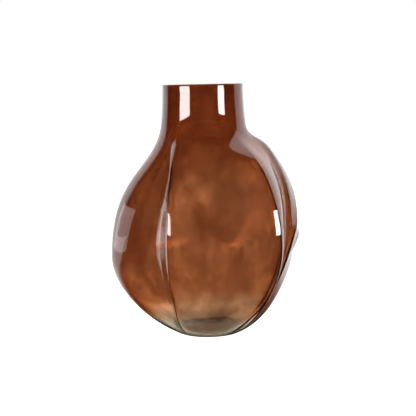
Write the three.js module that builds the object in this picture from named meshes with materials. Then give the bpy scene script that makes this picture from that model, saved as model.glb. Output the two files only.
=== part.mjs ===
// A mouth-blown vase of cased glass: an amber bubble inside a clear outer layer, pressed into five lobes by
// long folds that run from the neck down to a thick clear foot. The two layers of glass are the two bodies
// of the model. Millimetres and degrees, +Z up, the table at Z = 0 and the neck's axis on X = Y = 0.
// The front of the vase faces -Y. A bearing turns from the front towards the right, which is +X.
import * as THREE from "three";

// Driving dimensions of the outline, on the outside of the glass
const height = 280;
const rimRadius = 45;
const neckLength = 42;
const neckFootRadius = 47.6;
const neckSweep = 46; // how far down the neck's upright line leads the shoulder curve
const shoulderHeight = 166;
const bellyRadius = 108;
const bellyHeight = 90;
const bellyAbove = 96; // how far up the belly's upright line leads the shoulder curve
const bellyBelow = 37; // how far down it leads the curve to the heel
const flankHeight = 40;
const footRadius = 36;
const footShift = 2.5; // the foot sits this far to the right of the neck
const heelAngle = 24; // slope of the heel where it leaves the table
const heelReach = 38.5;

// Layers of glass
const clearWall = 1.5;
const amberWall = 1.1;
const amberFoot = 0.6; // the amber is thinner in the foot
const amberThin = 24; // height up to which it stays so
const amberFull = 44; // height where it has its full thickness
const layerGap = 0.4;
const baseThickness = 14;
const heavyHeight = 28; // height up to which the wall is thicker than in the belly
const floorRise = 1.2; // the inner floor is this much higher at its centre
const groundRingWidth = 5; // the flat ring ground under the foot
const puntDepth = 4; // the hollow inside that ring
const rimPolish = 0.5; // the bevel left by polishing the cut rim

// The folds, in order round the vase. The bearings of a fold's left edge, valley and right edge and its
// depth are given at the foot, flank, belly, shoulder and neck. Its two edges stand out or in and are sharp
// or soft, and the lobe after it is lifted and flattened.
const folds = [
  {
    left: [-64, -74, -80, -84, -84],
    valley: [-43, -39, -46, -38.5, -48],
    right: [-36, -29.5, -25, -28.5, -41],
    depth: [8, 14, 22, 16, 5],
    edgeOut: [0, -9],
    edgeSharp: [3, 10],
    lobeLift: 14,
    lobeFlat: 11.5,
  },
  {
    left: [29, 41, 44, 42, 42],
    valley: [37, 49, 54, 62, 66],
    right: [42, 54, 60.5, 69, 76],
    depth: [4, 7, 7, 5, 2],
    edgeOut: [7, -3.5],
    edgeSharp: [6, 4],
    lobeLift: 24,
    lobeFlat: 0,
  },
  {
    left: [48, 55.5, 67, 104, 110],
    valley: [54, 61, 76, 116, 122],
    right: [70, 80, 100, 138, 144],
    depth: [8, 11, 4.5, 9, 5],
    edgeOut: [-2, -3],
    edgeSharp: [5, 3],
    lobeLift: 25,
    lobeFlat: 0,
  },
  {
    left: [120, 124, 130, 162, 176],
    valley: [140, 145, 152, 186, 200],
    right: [160, 166, 174, 208, 222],
    depth: [6, 8, 9, 9, 6],
    edgeOut: [-4, -11],
    edgeSharp: [3, 3.5],
    lobeLift: 8,
    lobeFlat: 7.5,
  },
  {
    left: [244, 240, 236, 228, 226],
    valley: [262, 258, 250, 242, 240],
    right: [274, 268, 262, 256, 254],
    depth: [6, 9, 10, 9, 6],
    edgeOut: [-10.5, 0],
    edgeSharp: [2.5, 3],
    lobeLift: -2,
    lobeFlat: 0,
  },
];
const lobeBlend = 16; // degrees either side of a valley over which a lobe's lift turns into the next one's
const liftHold = 16; // how far above the shoulder the lobes keep their full lift
const foldFull = 45; // height where the folds reach their depth, from nothing at the foot
const foldEnd = 6; // how far above the neck's foot they have run out
const edgeRounding = 16; // glass this thick halves the sharpness of a fold's edges inside

// The knuckle that stands out of the right-hand lobe
const knuckleBearing = 78;
const knuckleHeight = 112;
const knuckleRadius = 17;
const knuckleSize = 7.5;

// Fineness of the surface
const flankColumns = 4; // from a valley to either edge of its fold
const lobeColumns = 5; // from one fold to the next
const outerRows = { heel: 12, shoulder: 17, neck: 3 };
const innerRows = { heel: 9, shoulder: 11, neck: 2 };
const floorRings = 3;

const neckFootHeight = height - neckLength;
const stationHeights = [0, flankHeight, bellyHeight, shoulderHeight, neckFootHeight];

// The outline from the heel up to the rim, as three spans: heel, shoulder and neck
const heelSlope = THREE.MathUtils.degToRad(heelAngle);
const spans = {
  heel: new THREE.CubicBezierCurve(
    new THREE.Vector2(footRadius, 0),
    new THREE.Vector2(footRadius + heelReach * Math.cos(heelSlope), heelReach * Math.sin(heelSlope)),
    new THREE.Vector2(bellyRadius, bellyHeight - bellyBelow),
    new THREE.Vector2(bellyRadius, bellyHeight),
  ),
  shoulder: new THREE.CubicBezierCurve(
    new THREE.Vector2(bellyRadius, bellyHeight),
    new THREE.Vector2(bellyRadius, bellyHeight + bellyAbove),
    new THREE.Vector2(neckFootRadius, neckFootHeight - neckSweep),
    new THREE.Vector2(neckFootRadius, neckFootHeight),
  ),
  neck: new THREE.CubicBezierCurve(
    new THREE.Vector2(neckFootRadius, neckFootHeight),
    new THREE.Vector2(neckFootRadius, neckFootHeight + neckLength / 3),
    new THREE.Vector2(rimRadius + (neckFootRadius - rimRadius) / 3, height - neckLength / 3),
    new THREE.Vector2(rimRadius, height),
  ),
};

// The places along the outline where rows of points go, each with its outward normal
function outlineRows(counts) {
  const rows = [];
  for (const [name, curve] of Object.entries(spans)) {
    const count = counts[name];
    for (let i = rows.length ? 1 : 0; i <= count; i++) {
      const point = curve.getPoint(i / count);
      const tangent = curve.getTangent(i / count);
      rows.push({ radius: point.x, z: point.y, outward: new THREE.Vector2(tangent.y, -tangent.x) });
    }
  }
  return rows;
}

const fadeIn = (z, from, to) => THREE.MathUtils.smoothstep(z, from, to);
const fadeOut = (z, from, to) => 1 - THREE.MathUtils.smoothstep(z, from, to);

// A smooth line from one value to another over a step, with its slopes at both ends
function smoothLine(from, to, step, slopeFrom, slopeTo, share) {
  const rise = share * share * (3 - 2 * share);
  const bend = step * share * (1 - share) * ((1 - share) * slopeFrom - share * slopeTo);
  return from + (to - from) * rise + bend;
}

// A smooth line through one value for each station height
function atHeight(values, z) {
  const last = stationHeights.length - 1;
  const slope = (i) => {
    const a = Math.max(i - 1, 0);
    const b = Math.min(i + 1, last);
    return (values[b] - values[a]) / (stationHeights[b] - stationHeights[a]);
  };
  const level = THREE.MathUtils.clamp(z, stationHeights[0], stationHeights[last]);
  let i = 0;
  while (i < last - 1 && level > stationHeights[i + 1]) i++;
  const step = stationHeights[i + 1] - stationHeights[i];
  const share = (level - stationHeights[i]) / step;
  return smoothLine(values[i], values[i + 1], step, slope(i), slope(i + 1), share);
}

// The bearings of all columns at a height: they follow the folds up the vase and crowd at their edges
function columnBearings(z) {
  const lines = folds.flatMap((fold) => [fold.left, fold.valley, fold.right])
    .map((line) => atHeight(line, z));
  lines.push(lines[0] + 360);
  const quarter = Math.PI / 2;
  const stretches = [
    { count: flankColumns, shareOf: (even) => 1 - Math.cos(quarter * even) },
    { count: flankColumns, shareOf: (even) => Math.sin(quarter * even) },
    { count: lobeColumns, shareOf: (even) => (1 - Math.cos(Math.PI * even)) / 2 },
  ];
  const bearings = [];
  for (let i = 0; i < lines.length - 1; i++) {
    const { count, shareOf } = stretches[i % stretches.length];
    const width = lines[i + 1] - lines[i];
    for (let c = 0; c < count; c++) bearings.push(lines[i] + width * shareOf(c / count));
  }
  return bearings;
}

// How much higher the wall stands in a lobe, turning into its neighbours' lift across the folds
function lobeLift(bearing, z) {
  const last = folds[folds.length - 1].lobeLift;
  let value = last;
  let before = last;
  folds.forEach((fold) => {
    const past = bearing - atHeight(fold.valley, z);
    value += (fold.lobeLift - before) * fadeIn(past, -lobeBlend, lobeBlend);
    before = fold.lobeLift;
  });
  const pastAll = bearing - atHeight(folds[0].valley, z) - 360;
  return value + (folds[0].lobeLift - last) * fadeIn(pastAll, -lobeBlend, lobeBlend);
}

// How far the wall stands out between its folds, on a smooth line through all edges of the folds
function crownOut(bearing, z) {
  const edges = folds.flatMap((fold) => [
    { at: atHeight(fold.left, z), out: fold.edgeOut[0], flat: 0 },
    { at: atHeight(fold.right, z), out: fold.edgeOut[1], flat: fold.lobeFlat },
  ]);
  const turned = (edge, by) => ({ ...edge, at: edge.at + by });
  const last = turned(edges[edges.length - 1], -360);
  const line = [last, ...edges, turned(edges[0], 360), turned(edges[1], 360)];
  let i = 1;
  while (i < edges.length && bearing >= line[i + 1].at) i++;
  const [before, start, end, after] = line.slice(i - 1, i + 3);
  const step = end.at - start.at;
  const share = (bearing - start.at) / step;
  const slopeStart = (end.out - before.out) / (end.at - before.at);
  const slopeEnd = (after.out - start.out) / (after.at - start.at);
  const flattened = start.flat * 4 * share * (1 - share);
  return smoothLine(start.out, end.out, step, slopeStart, slopeEnd, share) - flattened;
}

// A rounded valley, 1 deep at its middle, that ends at an edge where the share is 1
function valleyShape(share, sharp) {
  const softened = (value) => Math.log1p(Math.exp(value));
  return softened(sharp * (1 - share ** 2)) / softened(sharp);
}

// How far the folds press the wall in; inside the glass their edges are rounder
function foldDepth(bearing, z, thickness) {
  const rounding = 1 + thickness / edgeRounding;
  let depth = 0;
  for (const fold of folds) {
    const valley = atHeight(fold.valley, z);
    const past = THREE.MathUtils.euclideanModulo(bearing - valley + 180, 360) - 180;
    const reach = past < 0 ? valley - atHeight(fold.left, z) : atHeight(fold.right, z) - valley;
    const sharp = fold.edgeSharp[past < 0 ? 0 : 1] / rounding;
    depth += atHeight(fold.depth, z) * valleyShape(Math.abs(past) / reach, sharp);
  }
  return depth;
}

function knuckle(bearing, radius, z) {
  const across = THREE.MathUtils.degToRad(bearing - knuckleBearing) * radius;
  return knuckleSize * Math.exp(-(across ** 2 + (z - knuckleHeight) ** 2) / knuckleRadius ** 2);
}

// One point of a surface that lies a thickness inside the outline
function wallPoint(bearing, row, thickness) {
  const pressed = fadeIn(row.z, 0, foldFull) * fadeOut(row.z, shoulderHeight, neckFootHeight + foldEnd);
  const lifted = fadeIn(row.z, 0, bellyHeight) * fadeOut(row.z, shoulderHeight + liftHold, neckFootHeight);
  const z = row.z + lobeLift(bearing, row.z) * lifted;
  const pushed = crownOut(bearing, row.z) - foldDepth(bearing, row.z, thickness);
  const inset = row.radius - thickness * row.outward.x;
  const radius = inset + pushed * pressed + knuckle(bearing, row.radius, z);
  const turn = THREE.MathUtils.degToRad(bearing);
  const shift = footShift * fadeOut(row.z, 0, bellyHeight);
  return new THREE.Vector3(
    radius * Math.sin(turn) + shift,
    -radius * Math.cos(turn),
    z - thickness * row.outward.y,
  );
}

// A round level ring, with its columns where they stand at one height of the vase
function levelRing(radius, z, columnsAt, shift) {
  return columnBearings(columnsAt).map((bearing) => {
    const turn = THREE.MathUtils.degToRad(bearing);
    return new THREE.Vector3(radius * Math.sin(turn) + shift, -radius * Math.cos(turn), z);
  });
}

const footRing = (radius, z) => levelRing(radius, z, 0, footShift);
const rimRing = (radius, z) => levelRing(radius, z, height, 0);

// The thickness of both layers and the gap together, and of the clear layer alone
const wholeWall = clearWall + layerGap + amberWall;
const wholeAt = (z) => wholeWall + (baseThickness - wholeWall) * fadeOut(z, 0, heavyHeight);
const amberAt = (z) => amberFoot + (amberWall - amberFoot) * fadeIn(z, amberThin, amberFull);
const clearAt = (z) => wholeAt(z) - amberAt(z) - layerGap;

// The rings of one wall surface from the foot to just below the rim
function wallRings(counts, thicknessAt) {
  return outlineRows(counts).slice(0, -1).map((row) =>
    columnBearings(row.z).map((bearing) => wallPoint(bearing, row, thicknessAt(row.z))));
}

// The rings of an inner floor, from the edge of the wall inwards, with the point at its centre
function floorInside(thicknessAt) {
  const thickness = thicknessAt(0);
  const edgeRadius = footRadius - thickness * Math.sin(heelSlope);
  const edgeHeight = thickness * Math.cos(heelSlope);
  const rings = [];
  for (let i = 1; i < floorRings; i++) {
    const out = 1 - i / floorRings;
    rings.push(footRing(edgeRadius * out, edgeHeight + floorRise * (1 - out ** 2)));
  }
  return { rings, centre: new THREE.Vector3(footShift, 0, edgeHeight + floorRise) };
}

// A closed body from rings that run from a centre point underneath, out and up, over the rim and back
// down inside to a second centre point. The panes between rings are split along the same diagonal on the
// way up and on the way down, so that neighbouring surfaces keep their distance.
function closedBody(bottom, ringsUp, ringsDown, floor) {
  const rings = [...ringsUp, ...ringsDown];
  const count = rings[0].length;
  const positions = [bottom, ...rings.flat(), floor].flatMap((p) => [p.x, p.y, p.z]);
  const at = (ringIndex, column) => 1 + ringIndex * count + (column % count);
  const last = rings.length - 1;
  const top = 1 + rings.length * count;
  const faces = [];
  for (let c = 0; c < count; c++) {
    faces.push(0, at(0, c + 1), at(0, c));
    for (let r = 0; r < last; r++) {
      if (r < ringsUp.length) {
        faces.push(at(r, c), at(r, c + 1), at(r + 1, c));
        faces.push(at(r, c + 1), at(r + 1, c + 1), at(r + 1, c));
      } else {
        faces.push(at(r, c), at(r, c + 1), at(r + 1, c + 1));
        faces.push(at(r, c), at(r + 1, c + 1), at(r + 1, c));
      }
    }
    faces.push(top, at(last, c), at(last, c + 1));
  }
  const geometry = new THREE.BufferGeometry();
  geometry.setAttribute("position", new THREE.Float32BufferAttribute(positions, 3));
  geometry.setIndex(faces);
  geometry.computeVertexNormals();
  return geometry;
}

// The clear outer layer: ground foot ring with its punt, the lobed wall, the cut rim and the thick base
function clearCasing() {
  const innerFootRadius = footRadius - groundRingWidth;
  const punt = [];
  for (let i = 1; i < floorRings; i++) {
    const out = i / floorRings;
    punt.push(footRing(innerFootRadius * out, puntDepth * (1 - out ** 2)));
  }
  const inside = floorInside(clearAt);
  return closedBody(
    new THREE.Vector3(footShift, 0, puntDepth),
    [
      ...punt,
      footRing(innerFootRadius, 0),
      ...wallRings(outerRows, () => 0),
      rimRing(rimRadius, height - rimPolish),
      rimRing(rimRadius - rimPolish, height),
    ],
    [
      rimRing(rimRadius - clearWall, height),
      ...wallRings(innerRows, clearAt).reverse(),
      ...inside.rings,
    ],
    inside.centre,
  );
}

// The amber inner layer: a cup of coloured glass that lines the clear one up to the rim
function amberLining() {
  const outerAt = (z) => clearAt(z) + layerGap;
  const outside = floorInside(outerAt);
  const inside = floorInside(wholeAt);
  const outerRimRadius = rimRadius - clearWall - layerGap;
  return closedBody(
    outside.centre,
    [
      ...outside.rings.reverse(),
      ...wallRings(innerRows, outerAt),
      rimRing(outerRimRadius, height),
      rimRing(outerRimRadius - amberWall + rimPolish, height),
    ],
    [
      rimRing(outerRimRadius - amberWall, height - rimPolish),
      ...wallRings(innerRows, wholeAt).reverse(),
      ...inside.rings,
    ],
    inside.centre,
  );
}

const clearGlass = new THREE.MeshStandardMaterial({
  name: "clear glass", color: 0xb9b5a6, roughness: 0.04, metalness: 0, transparent: true, opacity: 0.35,
});
const amberGlass = new THREE.MeshStandardMaterial({
  name: "amber glass", color: 0x7a3f1e, roughness: 0.04, metalness: 0, transparent: true, opacity: 0.75,
});

const casing = new THREE.Mesh(clearCasing(), clearGlass);
casing.name = "clear_casing";
const lining = new THREE.Mesh(amberLining(), amberGlass);
lining.name = "amber_lining";

const vase = new THREE.Group();
vase.name = "glass_vase";
vase.add(casing, lining);

export default vase;
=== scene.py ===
import math

import bpy
import numpy as np
from mathutils import Matrix, Vector


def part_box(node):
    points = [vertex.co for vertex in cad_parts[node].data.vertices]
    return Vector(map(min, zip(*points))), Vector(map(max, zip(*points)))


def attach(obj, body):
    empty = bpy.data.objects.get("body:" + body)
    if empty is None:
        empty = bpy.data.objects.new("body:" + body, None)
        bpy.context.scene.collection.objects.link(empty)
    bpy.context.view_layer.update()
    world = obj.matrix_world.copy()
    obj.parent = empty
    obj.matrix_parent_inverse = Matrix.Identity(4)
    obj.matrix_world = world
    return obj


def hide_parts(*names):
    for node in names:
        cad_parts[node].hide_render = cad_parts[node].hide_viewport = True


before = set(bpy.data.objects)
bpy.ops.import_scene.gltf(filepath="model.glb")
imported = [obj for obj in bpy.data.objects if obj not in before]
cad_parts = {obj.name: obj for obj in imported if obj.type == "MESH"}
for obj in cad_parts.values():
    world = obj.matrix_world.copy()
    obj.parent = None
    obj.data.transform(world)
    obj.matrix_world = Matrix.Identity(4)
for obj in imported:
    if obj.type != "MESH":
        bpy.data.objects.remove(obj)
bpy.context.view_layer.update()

# The clear casing
# The outer gather of clear soda-lime glass, blown round and then pressed in along five long folds while it
# was soft, so its belly stands out in lobes. Its foot ring is ground flat, and its rim is cut and polished.
# The amber is fused inside it and light bends only where glass meets air, so this piece is the whole wall.

# Sizes are in millimetres. Bearings are in degrees from the front, -Y, towards the right, +X.
MM = 0.001
low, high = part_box("clear_casing")
height = (high[2] - low[2]) / MM
rim_radius = 45.0
neck_length = 42.0
neck_foot_radius = 47.4
neck_sweep = 50.0
neck_lean = 0.12
neck_hold = 14.0
shoulder_height = 166.0
belly_radius = 108.0
belly_height = 90.0
belly_above = 96.0
belly_below = 37.0
flank_height = 40.0
foot_radius = 36.0
foot_shift = 2.5
heel_slope = math.radians(24)
heel_reach = 38.5
neck_foot_height = height - neck_length
station_heights = np.array([0, flank_height, belly_height, shoulder_height, neck_foot_height])

# Each fold is given at the foot, flank, belly, shoulder and neck, by the bearings of its left edge, its
# valley and its right edge and by its depth. Its edges also stand out or in, are sharp or soft, and the
# lobe after it stands higher or lower and is more or less flat.
folds = (
    dict(
        left=(-64, -74, -80, -84, -84), valley=(-47, -43.5, -46, -38.5, -48),
        right=(-36, -29.5, -25, -28.5, -41), depth=(10, 17, 22, 16, 5),
        out=(0, -9), sharp=(3, 5), lift=14, flat=13.9,
    ),
    dict(
        left=(29, 41, 44, 42, 42), valley=(37, 49, 56, 65, 68),
        right=(42, 54, 62.5, 73, 78), depth=(3, 6, 8, 5, 2),
        out=(9.3, -3.5), sharp=(7, 4), lift=24, flat=0,
    ),
    dict(
        left=(48, 55.5, 67, 104, 110), valley=(54, 61, 76, 116, 122),
        right=(70, 80, 100, 138, 144), depth=(6, 9, 4.5, 9, 5),
        out=(-2, -3), sharp=(5, 3), lift=25, flat=0,
    ),
    dict(
        left=(120, 124, 130, 162, 176), valley=(140, 145, 152, 186, 200),
        right=(160, 166, 174, 208, 222), depth=(6, 8, 9, 9, 6),
        out=(-4, -11.3), sharp=(3, 3.5), lift=8, flat=7.5,
    ),
    dict(
        left=(244, 240, 236, 228, 226), valley=(262, 258, 250, 242, 240),
        right=(274, 268, 262, 256, 254), depth=(5, 7, 6, 6, 5),
        out=(-10.5, 0), sharp=(2, 2), lift=-2, flat=0,
    ),
)
lobe_blend, edge_rounding = 16.0, 16.0
fold_start, fold_full = 0.0, 45.0
fold_fades, fold_end = shoulder_height, neck_foot_height - 8.0
lift_fades = shoulder_height + 16.0

# The knuckle is a round swelling on the right-hand lobe.
knuckle_bearing, knuckle_height, knuckle_radius, knuckle_size = 78.0, 112.0, 17.0, 5.4

# The ripples run over each other: how many waves go round the vase, how they climb and where they start.
ripple_length, ripple_depth = 12.0, 0.07
ripple_waves = ((7, 1.1, 0), (23, -2.3, 1), (31, 4.1, 2))
ripple_starts, ripple_full, ripple_fades, ripple_ends = 30.0, 60.0, 230.0, 260.0


def fade_in(value, start, end):
    """A smooth rise from 0 at the start to 1 at the end."""
    share = np.clip((value - start) / (end - start), 0, 1)
    return share * share * (3 - 2 * share)


def bezier(points, count):
    """Points on a curve of radius over height, each with the direction that points out of the glass."""
    p = np.array(points, float)
    t = np.linspace(0, 1, count + 1)[:, None]
    point = (1 - t) ** 3 * p[0] + 3 * (1 - t) ** 2 * t * p[1] + 3 * (1 - t) * t**2 * p[2] + t**3 * p[3]
    slope = (1 - t) ** 2 * (p[1] - p[0]) + 2 * (1 - t) * t * (p[2] - p[1]) + t**2 * (p[3] - p[2])
    outward = np.stack([slope[:, 1], -slope[:, 0]], 1)
    return np.hstack([point, outward / np.linalg.norm(outward, axis=1)[:, None]])


def outline(heel_rows, shoulder_rows, neck_rows):
    """Rows of radius, height and outward normal from the heel to just below the rim."""
    heel = [
        (foot_radius, 0),
        (foot_radius + heel_reach * math.cos(heel_slope), heel_reach * math.sin(heel_slope)),
        (belly_radius, belly_height - belly_below),
        (belly_radius, belly_height),
    ]
    shoulder = [
        (belly_radius, belly_height),
        (belly_radius, belly_height + belly_above),
        (neck_foot_radius + neck_lean * neck_sweep, neck_foot_height - neck_sweep),
        (neck_foot_radius, neck_foot_height),
    ]
    neck_foot, rim = np.array([neck_foot_radius, neck_foot_height]), np.array([rim_radius, height])
    neck = [neck_foot, neck_foot + (-neck_lean * neck_hold, neck_hold), rim - (0, neck_hold), rim]
    spans = [bezier(heel, heel_rows), bezier(shoulder, shoulder_rows)[1:], bezier(neck, neck_rows)[1:-1]]
    return np.vstack(spans)


def at_height(values, z):
    """A smooth line through one value for each station height."""
    values = np.array(values, float)
    last = len(values) - 1
    before, after = np.maximum(np.arange(last + 1) - 1, 0), np.minimum(np.arange(last + 1) + 1, last)
    slopes = (values[after] - values[before]) / (station_heights[after] - station_heights[before])
    z = np.clip(z, station_heights[0], station_heights[last])
    i = np.clip(np.searchsorted(station_heights, z, side="left") - 1, 0, last - 1)
    step = station_heights[i + 1] - station_heights[i]
    t = (z - station_heights[i]) / step
    bend = step * t * (1 - t) * ((1 - t) * slopes[i] - t * slopes[i + 1])
    return values[i] + (values[i + 1] - values[i]) * t * t * (3 - 2 * t) + bend


def column_bearings(z, side=14, crown=22):
    """The bearings of all columns at each height: they follow the folds and crowd beside their edges."""
    lines = []
    for fold in folds:
        lines += [at_height(fold[key], z) for key in ("left", "valley", "right")]
    lines.append(lines[0] + 360)
    fall = np.sin(np.pi / 2 * np.arange(side) / side)
    rise = 1 - np.cos(np.pi / 2 * np.arange(side) / side)
    over = (1 - np.cos(np.pi * np.arange(crown) / crown)) / 2
    spans = []
    for i, (start, end) in enumerate(zip(lines, lines[1:])):
        share = (rise, fall, over)[i % 3]
        spans.append(start[:, None] + (end - start)[:, None] * share)
    return np.hstack(spans)


def turned_past(bearing, line):
    """How far each column lies past a line, from -180 to 180 degrees."""
    return (bearing - line[:, None] + 180) % 360 - 180


def lobe_lift(bearing, z):
    """How much higher the wall stands, turning into the next lobe's across the folds."""
    last = folds[-1]["lift"]
    value, before = last, last
    for fold in folds:
        past = bearing - at_height(fold["valley"], z)[:, None]
        value = value + (fold["lift"] - before) * fade_in(past, -lobe_blend, lobe_blend)
        before = fold["lift"]
    past = bearing - at_height(folds[0]["valley"], z)[:, None] - 360
    return value + (folds[0]["lift"] - last) * fade_in(past, -lobe_blend, lobe_blend)


def crown_out(bearing, z):
    """How far the wall stands out between its folds, on a smooth line through all edges of the folds."""
    lines, outs = [], []
    for fold in folds:
        lines += [at_height(fold["left"], z), at_height(fold["right"], z)]
        outs += fold["out"]
    count = len(lines)
    lines = [lines[-1] - 360] + lines + [lines[0] + 360, lines[1] + 360]
    outs = [outs[-1]] + outs + [outs[0], outs[1]]
    value = np.zeros_like(bearing)
    for i in range(1, count + 1):
        start, end = lines[i], lines[i + 1]
        before, after = lines[i - 1], lines[i + 2]
        slope_start = (outs[i + 1] - outs[i - 1]) / (end - before)
        slope_end = (outs[i + 2] - outs[i]) / (after - start)
        step = end - start
        t = (bearing - start[:, None]) / step[:, None]
        inside = (t >= 0) & (t < 1) if i < count else (t >= 0)
        bend = step[:, None] * t * (1 - t) * ((1 - t) * slope_start[:, None] - t * slope_end[:, None])
        here = outs[i] + (outs[i + 1] - outs[i]) * t * t * (3 - 2 * t) + bend
        if i % 2 == 0:
            here = here - folds[i // 2 - 1]["flat"] * 4 * t * (1 - t)
        value = np.where(inside, here, value)
    return value


def valley_shape(share, sharp):
    """A rounded valley, 1 deep at its middle, that ends at an edge at a share of 1."""
    return np.logaddexp(0, sharp * (1 - share**2)) / np.logaddexp(0, sharp)


def fold_depth(bearing, z, thickness):
    """How far the folds press the wall in; inside the glass their edges are rounder."""
    rounding = 1 + thickness / edge_rounding
    depth = 0
    for fold in folds:
        valley = at_height(fold["valley"], z)
        past = turned_past(bearing, valley)
        before = (valley - at_height(fold["left"], z))[:, None]
        after = (at_height(fold["right"], z) - valley)[:, None]
        left = valley_shape(np.minimum(past, 0) / before, fold["sharp"][0] / rounding)
        right = valley_shape(np.maximum(past, 0) / after, fold["sharp"][1] / rounding)
        depth = depth + at_height(fold["depth"], z)[:, None] * np.where(past < 0, left, right)
    return depth


def ripples(bearing, z):
    """Low waves that the blowing left on the inside of the bubble, from -1 to 1."""
    turn, rise = np.radians(bearing), z[:, None] / ripple_length
    summed = sum(np.sin(waves * turn + climb * rise + start) for waves, climb, start in ripple_waves)
    return summed / len(ripple_waves)


def wall_surface(rows, thickness, rippled=0.0):
    """The points of a surface that lies a thickness inside the wall: a row for each row of the outline."""
    radius, z, out_r, out_z = rows.T
    thickness = np.broadcast_to(thickness, z.shape)[:, None]
    bearing = column_bearings(z)
    pressed = fade_in(z, fold_start, fold_full) * (1 - fade_in(z, fold_fades, fold_end))
    lifted = fade_in(z, 0, belly_height) * (1 - fade_in(z, lift_fades, neck_foot_height))
    level = z[:, None] + lobe_lift(bearing, z) * lifted[:, None]
    across = np.radians(bearing - knuckle_bearing) * radius[:, None]
    knuckle = knuckle_size * np.exp(-(across**2 + (level - knuckle_height) ** 2) / knuckle_radius**2)
    pushed = crown_out(bearing, z) - fold_depth(bearing, z, thickness)
    rippling = fade_in(z, ripple_starts, ripple_full) * (1 - fade_in(z, ripple_fades, ripple_ends))
    out = (radius - thickness[:, 0] * out_r)[:, None] + pushed * pressed[:, None] + knuckle
    out = out + rippled * ripples(bearing, z) * rippling[:, None]
    turn = np.radians(bearing)
    shift = (foot_shift * (1 - fade_in(z, 0, belly_height)))[:, None]
    return np.stack([out * np.sin(turn) + shift, -out * np.cos(turn), level - thickness * out_z[:, None]], 2)


def level_ring(radius, z, at=0.0, shift=0.0):
    """A round level ring, with its columns where they stand at one height of the vase."""
    turn = np.radians(column_bearings(np.array([float(at)])))
    return np.stack([radius * np.sin(turn) + shift, -radius * np.cos(turn), np.full_like(turn, z)], 2)


def closed_body(name, bottom, rings, floor):
    """A closed mesh from rings between a centre point underneath and one on the inner floor."""
    rings = np.concatenate(rings)
    count, columns = rings.shape[:2]
    points = np.vstack([[bottom], rings.reshape(-1, 3), [floor]]) * MM
    here = 1 + np.arange(count * columns).reshape(count, columns)
    beside = np.roll(here, -1, axis=1)
    quads = np.stack([here[:-1], beside[:-1], beside[1:], here[1:]], 2).reshape(-1, 4)
    top = len(points) - 1
    faces = [(0, b, a) for a, b in zip(here[0], beside[0])]
    faces += [tuple(q) for q in quads]
    faces += [(top, a, b) for a, b in zip(here[-1], beside[-1])]
    mesh = bpy.data.meshes.new(name)
    mesh.from_pydata([tuple(p) for p in points], [], [tuple(int(i) for i in f) for f in faces])
    mesh.validate()
    mesh.shade_smooth()
    piece = bpy.data.objects.new(name, mesh)
    bpy.context.scene.collection.objects.link(piece)
    return piece


# The wall is the clear layer, the joint between the layers and the amber one. The real base is thicker than
# this one: in a steeper wedge, light that is caught in it draws dark bands that the real vase doesn't show.
clear_wall = 1.5
layer_joint = 0.4
amber_wall = 1.1
wall = clear_wall + layer_joint + amber_wall
base_thickness = 3.7
base_height = 65.0
floor_rise = 1.2
ground_ring_width = 5.0
punt_depth = 4.0
rim_polish = 0.5
rim_corner = 0.3 * rim_polish
inner_rim_radius = rim_radius - wall
wall_rows = outline(heel_rows=54, shoulder_rows=76, neck_rows=16)
row_heights = wall_rows[:, 1]
wall_at_rows = wall + (base_thickness - wall) * (1 - fade_in(row_heights, 0, base_height))


def floor_rings(thickness, count=10):
    """The inner floor of a surface, from the edge of the wall inwards, and its centre."""
    edge_radius = foot_radius - thickness * math.sin(heel_slope)
    edge_height = thickness * math.cos(heel_slope)
    rings = []
    for i in range(1, count):
        out = 1 - i / count
        rings.append(level_ring(edge_radius * out, edge_height + floor_rise * (1 - out**2), shift=foot_shift))
    return rings, (foot_shift, 0, edge_height + floor_rise)


def punt_rings(count=10):
    """The shallow hollow ground under the foot, from its centre out to the ring that it stands on."""
    radius = foot_radius - ground_ring_width
    rings = []
    for i in range(1, count):
        out = i / count
        rings.append(level_ring(radius * out, punt_depth * (1 - out**2), shift=foot_shift))
    return rings + [level_ring(radius, 0, shift=foot_shift)]


def rim_rings():
    """The cut and polished rim, from the outside over the top to the inside."""
    return [
        level_ring(rim_radius, height - rim_polish, at=height),
        level_ring(rim_radius - rim_corner, height - rim_corner, at=height),
        level_ring(rim_radius - rim_polish, height, at=height),
        level_ring(inner_rim_radius + rim_polish, height, at=height),
        level_ring(inner_rim_radius + rim_corner, height - rim_corner, at=height),
        level_ring(inner_rim_radius, height - rim_polish, at=height),
    ]


outer_wall = wall_surface(wall_rows, 0.0)
inner_wall = wall_surface(wall_rows, wall_at_rows, ripple_depth)
inner_floor, inner_centre = floor_rings(base_thickness)
casing = closed_body(
    "clear_glass_casing",
    (foot_shift, 0, punt_depth),
    punt_rings() + [outer_wall] + rim_rings() + [inner_wall[::-1]] + inner_floor,
    inner_centre,
)
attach(casing, "root")
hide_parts("clear_casing")


def linear(hex_colour):
    """An sRGB hex colour as linear RGBA."""
    parts = [int(hex_colour[i : i + 2], 16) / 255 for i in (1, 3, 5)]
    return tuple(c / 12.92 if c <= 0.04045 else ((c + 0.055) / 1.055) ** 2.4 for c in parts) + (1.0,)


def add_node(tree, kind, settings=None, **inputs):
    """A node with its settings, and its inputs by name as values or as links from other nodes' sockets."""
    node = tree.nodes.new(kind)
    for key, value in (settings or {}).items():
        setattr(node, key, value)
    for key, value in inputs.items():
        socket = node.inputs[int(key[1:]) if key[0] == "i" and key[1:].isdigit() else key.replace("_", " ")]
        if isinstance(value, bpy.types.NodeSocket):
            tree.links.new(value, socket)
        else:
            socket.default_value = value
    return node


def taken_away(per_metre):
    """Colour and density of an absorption, from how much red, green and blue a metre of glass takes away."""
    density = max(per_metre)
    colour = tuple(1 - share / density for share in per_metre) + (1.0,)
    return dict(Color=colour, Density=density)


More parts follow.
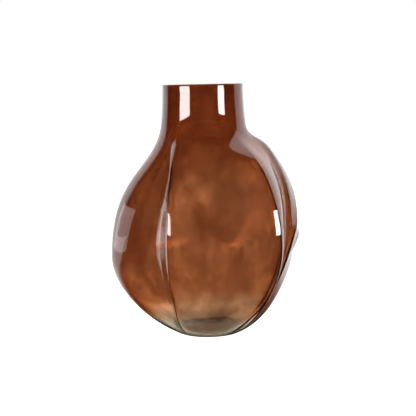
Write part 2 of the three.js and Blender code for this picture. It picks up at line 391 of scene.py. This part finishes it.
# Soda-lime glass, fire-polished: a clean mirror on both faces, and a grey-olive cast from the iron in the
# sand that only shows where the light runs far through it, in the base and along the edges.
clear_takes = (15.0, 10.0, 23.0)
clear_glass = bpy.data.materials.new("clear_soda_lime_glass")
clear_glass.use_nodes = True
tree = clear_glass.node_tree
tree.nodes.clear()
glass = add_node(
    tree, "ShaderNodeBsdfPrincipled",
    Base_Color=linear("#ffffff"), Roughness=0.0, IOR=1.52, Transmission_Weight=1.0,
)
body = add_node(tree, "ShaderNodeVolumeAbsorption", **taken_away(clear_takes))
add_node(tree, "ShaderNodeOutputMaterial", Surface=glass.outputs[0], Volume=body.outputs[0])
casing.data.materials.append(clear_glass)


# The amber lining
# The first gather: a bubble of amber-brown glass, blown inside the clear one, which colours the vase.
# It isn't quite even, so the colour clouds. It is fused into the clear glass and lies a hair below its
# inner face. It is thin at the floor and thicker up the neck.
skin = 0.04
amber_floor = 0.12
amber_thins, amber_full = 14.0, 32.0
neck_amber = 0.4
neck_amber_starts = shoulder_height - 20.0
thin_low = (amber_wall - skin - amber_floor) * (1 - fade_in(row_heights, amber_thins, amber_full))
thick_high = neck_amber * fade_in(row_heights, neck_amber_starts, neck_foot_height)
amber_outer = wall_surface(wall_rows, wall_at_rows - amber_wall + thin_low - thick_high)
amber_inner = wall_surface(wall_rows, wall_at_rows - skin, ripple_depth)
outer_floor, outer_centre = floor_rings(base_thickness - skin - amber_floor)
lining_floor, lining_centre = floor_rings(base_thickness - skin)
lining_rim = [
    level_ring(rim_radius - clear_wall - layer_joint + neck_amber, height - skin, at=height),
    level_ring(inner_rim_radius + rim_polish + skin, height - skin, at=height),
    level_ring(inner_rim_radius + skin, height - rim_polish, at=height),
]
lining = closed_body(
    "amber_glass_lining",
    outer_centre,
    outer_floor[::-1] + [amber_outer] + lining_rim + [amber_inner[::-1]] + lining_floor,
    lining_centre,
)
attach(lining, "root")
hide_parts("amber_lining")

# Amber glass: its colour is in the body of the glass, so it deepens along slanting paths. Its index is 1
# because clear glass, not air, lies on its other side and light passes into it unbent. Slow clouds some
# 45 mm across vary its depth, it is deeper in five places, and four paler places are a painted highlight.
amber_takes = (300.0, 800.0, 1230.0)
cloud_size = 45.0
cloud_width_to_height = 0.55
noise_low, noise_high = 0.35, 0.65
cloud_palest, cloud_deepest = 0.42, 0.95
amber_glass = bpy.data.materials.new("amber_glass")
amber_glass.use_nodes = True
tree = amber_glass.node_tree
tree.nodes.clear()
place = add_node(tree, "ShaderNodeTexCoord").outputs["Object"]
stretch = add_node(tree, "ShaderNodeMapping", Vector=place, Scale=(1.0, 1.0, cloud_width_to_height))
clouds = add_node(
    tree, "ShaderNodeTexNoise",
    Vector=stretch.outputs[0], Scale=1 / (cloud_size * MM), Detail=5.0, Roughness=0.6,
)
depth = add_node(
    tree, "ShaderNodeMapRange",
    Value=clouds.outputs["Fac"], From_Min=noise_low, From_Max=noise_high,
    To_Min=cloud_palest, To_Max=cloud_deepest,
).outputs[0]
# The places: centre on the wall, reach, and how much deeper the amber is there. The four paler ones are a
# painted highlight, a light band that slants down across the front.
uneven_and_highlight = (
    ((4, -60, 205), 60, 0.6),
    ((-58, -50, 178), 52, 0.8),
    ((-85, -35, 125), 75, 0.5),
    ((32, -85, 150), 46, 0.85),
    ((62, -75, 105), 48, 0.45),
    ((-23, -68, 204), 18, -0.5),
    ((-13, -76, 186), 18, -0.5),
    ((-3, -83, 167), 18, -0.5),
    ((8, -88, 147), 18, -0.5),
)
for centre, reach, deeper_or_highlight in uneven_and_highlight:
    away = add_node(
        tree, "ShaderNodeVectorMath", {"operation": "DISTANCE"}, i0=place, i1=tuple(c * MM for c in centre),
    )
    tone_or_highlight = add_node(
        tree, "ShaderNodeMapRange", {"interpolation_type": "SMOOTHSTEP"},
        Value=away.outputs["Value"], From_Min=0.0, From_Max=reach * MM, To_Min=deeper_or_highlight, To_Max=0.0,
    )
    depth = add_node(tree, "ShaderNodeMath", {"operation": "ADD"}, i0=depth, i1=tone_or_highlight.outputs[0]).outputs[0]

# The colour deepens a little up the shoulder.
deepens_from, deepens_to, deeper_above = 185.0, 240.0, 0.08
spot = add_node(tree, "ShaderNodeSeparateXYZ", Vector=place)
top = add_node(
    tree, "ShaderNodeMapRange", {"interpolation_type": "SMOOTHSTEP"},
    Value=spot.outputs["Z"], From_Min=deepens_from * MM, From_Max=deepens_to * MM,
    To_Min=0.0, To_Max=deeper_above,
)
depth = add_node(tree, "ShaderNodeMath", {"operation": "ADD"}, i0=depth, i1=top.outputs[0]).outputs[0]

# In front the bubble's lower end is a bowl: the colour starts 20 mm up the wall in the middle and 40 mm up
# at the folds. Towards the back it keeps its colour down to the floor.
bowl_curve, bowl_rises = 14.6, 20.0
clear_below, coloured_above = 16.0, 26.0
clear_before, coloured_behind = -34.0, -24.0
bowl = add_node(tree, "ShaderNodeMath", {"operation": "POWER"}, i0=spot.outputs["X"], i1=2.0)
bowl = add_node(tree, "ShaderNodeMath", {"operation": "MULTIPLY"}, i0=bowl.outputs[0], i1=bowl_curve)
bowl = add_node(tree, "ShaderNodeMath", {"operation": "MINIMUM"}, i0=bowl.outputs[0], i1=bowl_rises * MM)
above = add_node(tree, "ShaderNodeMath", {"operation": "SUBTRACT"}, i0=spot.outputs["Z"], i1=bowl.outputs[0])
bowl = add_node(
    tree, "ShaderNodeMapRange", {"interpolation_type": "SMOOTHSTEP"},
    Value=above.outputs[0], From_Min=clear_below * MM, From_Max=coloured_above * MM, To_Min=0.0, To_Max=1.0,
)
back = add_node(
    tree, "ShaderNodeMapRange", {"interpolation_type": "SMOOTHSTEP"},
    Value=spot.outputs["Y"], From_Min=clear_before * MM, From_Max=coloured_behind * MM,
    To_Min=0.0, To_Max=1.0,
)
bowl = add_node(tree, "ShaderNodeMath", {"operation": "MAXIMUM"}, i0=bowl.outputs[0], i1=back.outputs[0])
depth = add_node(tree, "ShaderNodeMath", {"operation": "MULTIPLY"}, i0=depth, i1=bowl.outputs[0]).outputs[0]
tint = add_node(
    tree, "ShaderNodeMix", {"data_type": "RGBA"}, i0=depth, i6=linear("#ffffff"), i7=linear("#ad9e95"),
)
glass = add_node(
    tree, "ShaderNodeBsdfPrincipled",
    Base_Color=tint.outputs[2], Roughness=0.0, IOR=1.0, Transmission_Weight=1.0,
)
body = add_node(tree, "ShaderNodeVolumeAbsorption", **taken_away(amber_takes))
add_node(tree, "ShaderNodeOutputMaterial", Surface=glass.outputs[0], Volume=body.outputs[0])
lining.data.materials.append(amber_glass)


# The floor and the studio
# A seamless sheet of pale paper, white behind and below the vase, with the dark room in front of it. It lies
# a hair below the foot ring.
floor_reach = 6.0
floor_drop = 0.2
corners = [(x * floor_reach, y * floor_reach, 0) for x, y in ((-1, -1), (1, -1), (1, 1), (-1, 1))]
floor_mesh = bpy.data.meshes.new("floor")
floor_mesh.from_pydata(corners, [], [(0, 1, 2, 3)])
floor = bpy.data.objects.new("floor", floor_mesh)
bpy.context.scene.collection.objects.link(floor)
floor.location.z = -floor_drop * MM

# Matt white paper whose glow is painted light, evenly white to the camera. In the glass the glow holds a
# painted
# shadow of the vase: dark under the foot and brighter in two steps further out. Reflections of the paper in
# front are painted dark, where the dark room lies.
inner_shadow_from, inner_shadow_to, inner_shadow_glow = 34.0, 50.0, 0.36
outer_shadow_from, outer_shadow_to, outer_shadow_glow = 60.0, 120.0, 0.64
shade_full_at, shade_gone_at = 0.0, 100.0
painted_shadow_paper = bpy.data.materials.new("white_paper_painted_shadow")
painted_shadow_paper.use_nodes = True
tree = painted_shadow_paper.node_tree
tree.nodes.clear()
ground = add_node(tree, "ShaderNodeTexCoord").outputs["Object"]
# Painted shadow of the vase: the glow that the glass sees falls off towards the foot.
away = add_node(
    tree, "ShaderNodeVectorMath", {"operation": "DISTANCE"}, i0=ground, i1=(foot_shift * MM, 0, 0),
)
inner_shadow = add_node(
    tree, "ShaderNodeMapRange", {"interpolation_type": "SMOOTHSTEP"},
    Value=away.outputs["Value"], From_Min=inner_shadow_from * MM, From_Max=inner_shadow_to * MM,
    To_Min=0.0, To_Max=inner_shadow_glow,
)
outer_shadow = add_node(
    tree, "ShaderNodeMapRange", {"interpolation_type": "SMOOTHSTEP"},
    Value=away.outputs["Value"], From_Min=outer_shadow_from * MM, From_Max=outer_shadow_to * MM,
    To_Min=0.0, To_Max=outer_shadow_glow,
)
painted_shadow_glow = add_node(tree, "ShaderNodeMath", {"operation": "ADD"}, i0=inner_shadow.outputs[0], i1=outer_shadow.outputs[0])
path = add_node(tree, "ShaderNodeLightPath")
paper_glow = add_node(
    tree, "ShaderNodeMix", {"data_type": "FLOAT"},
    i0=path.outputs["Is Camera Ray"], i2=painted_shadow_glow.outputs[0], i3=1.0,
)
paper = add_node(
    tree, "ShaderNodeBsdfPrincipled",
    Base_Color=linear("#e7e7e7"), Roughness=0.9,
    Emission_Color=linear("#ffffff"), Emission_Strength=paper_glow.outputs[0],
)
# Painted shade: in reflections the paper in front of the vase turns this dark grey.
shade = add_node(tree, "ShaderNodeBsdfDiffuse", Color=linear("#272727"))
spot = add_node(tree, "ShaderNodeSeparateXYZ", Vector=ground)
front_shade_mask = add_node(
    tree, "ShaderNodeMapRange", {"interpolation_type": "SMOOTHSTEP"},
    Value=spot.outputs["Y"], From_Min=shade_full_at * MM, From_Max=shade_gone_at * MM, To_Min=1.0, To_Max=0.0,
)
painted_dark_reflection = add_node(
    tree, "ShaderNodeMath", {"operation": "MULTIPLY"},
    i0=path.outputs["Is Reflection Ray"], i1=front_shade_mask.outputs[0],
)
seen = add_node(tree, "ShaderNodeMixShader", i0=painted_dark_reflection.outputs[0], i1=paper.outputs[0], i2=shade.outputs[0])
add_node(tree, "ShaderNodeOutputMaterial", Surface=seen.outputs[0])
floor_mesh.materials.append(painted_shadow_paper)

# The white wall spans the back, brighter towards its top, and fades into the dark room at both ends. The
# camera itself sees it evenly white.
white_left, room_left = math.radians(-56), math.radians(-68)
white_right, room_right = math.radians(74), math.radians(82)
white_foot, white_top, top_rise = 1.45, 1.8, 0.6
room_light, room_mirrored = 0.35, 0.03
world = bpy.data.worlds.new("studio")
bpy.context.scene.world = world
world.use_nodes = True
tree = world.node_tree
tree.nodes.clear()
direction = add_node(tree, "ShaderNodeTexCoord")
split = add_node(tree, "ShaderNodeSeparateXYZ", Vector=direction.outputs["Generated"])
turn = add_node(
    tree, "ShaderNodeMath", {"operation": "ARCTAN2"}, i0=split.outputs["X"], i1=split.outputs["Y"],
)
left_edge = add_node(
    tree, "ShaderNodeMapRange", {"interpolation_type": "SMOOTHSTEP"},
    Value=turn.outputs[0], From_Min=room_left, From_Max=white_left, To_Min=0.0, To_Max=1.0,
)
right_edge = add_node(
    tree, "ShaderNodeMapRange", {"interpolation_type": "SMOOTHSTEP"},
    Value=turn.outputs[0], From_Min=white_right, From_Max=room_right, To_Min=1.0, To_Max=0.0,
)
white = add_node(
    tree, "ShaderNodeMath", {"operation": "MULTIPLY"}, i0=left_edge.outputs[0], i1=right_edge.outputs[0],
)
up = add_node(
    tree, "ShaderNodeMapRange",
    Value=split.outputs["Z"], From_Min=0.0, From_Max=top_rise, To_Min=white_foot, To_Max=white_top,
)
white = add_node(tree, "ShaderNodeMath", {"operation": "MULTIPLY"}, i0=white.outputs[0], i1=up.outputs[0])
path = add_node(tree, "ShaderNodeLightPath")
room = add_node(
    tree, "ShaderNodeMapRange", Value=path.outputs["Is Reflection Ray"],
    From_Min=0.0, From_Max=1.0, To_Min=room_light, To_Max=room_mirrored,
)
room = add_node(tree, "ShaderNodeMath", {"operation": "MAXIMUM"}, i0=white.outputs[0], i1=room.outputs[0])
seen = add_node(
    tree, "ShaderNodeMix", {"data_type": "FLOAT"},
    i0=path.outputs["Is Camera Ray"], i2=room.outputs[0], i3=1.0,
)
back = add_node(tree, "ShaderNodeBackground", Color=linear("#ffffff"), Strength=seen.outputs[0])
add_node(tree, "ShaderNodeOutputWorld", Surface=back.outputs[0])


def soft_light(name, place, facing, width, tall, radiance):
    """An even rectangular light at a place, in metres, that faces a way and stays out of the picture."""
    light = bpy.data.lights.new(name, "AREA")
    light.shape = "RECTANGLE"
    light.size, light.size_y = width, tall
    light.energy = radiance * math.pi * width * tall
    lamp = bpy.data.objects.new(name, light)
    lamp.location = place
    lamp.rotation_euler = facing.to_track_quat("-Z", "Y").to_euler()
    lamp.visible_camera = False
    bpy.context.scene.collection.objects.link(lamp)


def softbox(name, bearing, elevation, width, tall, radiance):
    """A softbox at a bearing and elevation seen from the shoulder, facing it."""
    turn, rise = math.radians(bearing), math.radians(elevation)
    way = Vector((math.sin(turn) * math.cos(rise), -math.cos(turn) * math.cos(rise), math.sin(rise)))
    soft_light(name, Vector((0, 0, softbox_aim)) + way * softbox_distance, -way, width, tall, radiance)


# The two softboxes stand in front and draw the bright upright bars on the neck and the lobes.
softbox_aim, softbox_distance = 0.2, 1.2
softbox("softbox_left", bearing=-51, elevation=3, width=0.63, tall=0.31, radiance=18)
softbox("softbox_right", bearing=51.5, elevation=1.7, width=0.38, tall=0.33, radiance=26)

# Two lit white cards close by on the left make the steep side of the long fold and the shoulder shine.
card_away, card_back, card_low, card_high = 0.38, 0.09, 0.145, 0.51
low_place, high_place = (-card_away, card_back, card_low), (-card_away, card_back, card_high)
card_facing = Vector((1, 0, 0))
soft_light("white_card_low", low_place, card_facing, width=0.27, tall=0.15, radiance=1.7)
soft_light("white_card_high", high_place, card_facing, width=0.3, tall=0.15, radiance=2.4)


# The camera
# It stands level with the rim, 1.15 m in front, looks a little down and leans by a degree.
camera_right, camera_front, camera_up = 3.3, 1150.0, 280.0
look_down, lean = math.radians(6.9116), math.radians(1.2)
focal_pixels, frame_pixels = 1023.0, 416
camera_data = bpy.data.cameras.new("camera")
camera_data.sensor_width = 36.0
camera_data.lens = camera_data.sensor_width * focal_pixels / frame_pixels
camera = bpy.data.objects.new("camera", camera_data)
bpy.context.scene.collection.objects.link(camera)
turned = Matrix.Rotation(math.pi / 2 - look_down, 4, "X") @ Matrix.Rotation(-lean, 4, "Z")
stand = Matrix.Translation((camera_right * MM, -camera_front * MM, camera_up * MM))
camera.matrix_world = stand @ turned
bpy.context.scene.camera = camera
bpy.context.scene.view_settings.view_transform = "Standard"

# Light that runs along inside the wall turns many times before it leaves the glass.
most_turns = 96
bpy.context.scene.cycles.max_bounces = most_turns
bpy.context.scene.cycles.glossy_bounces = most_turns
bpy.context.scene.cycles.transmission_bounces = most_turns
bpy.context.scene.cycles.transparent_max_bounces = 32
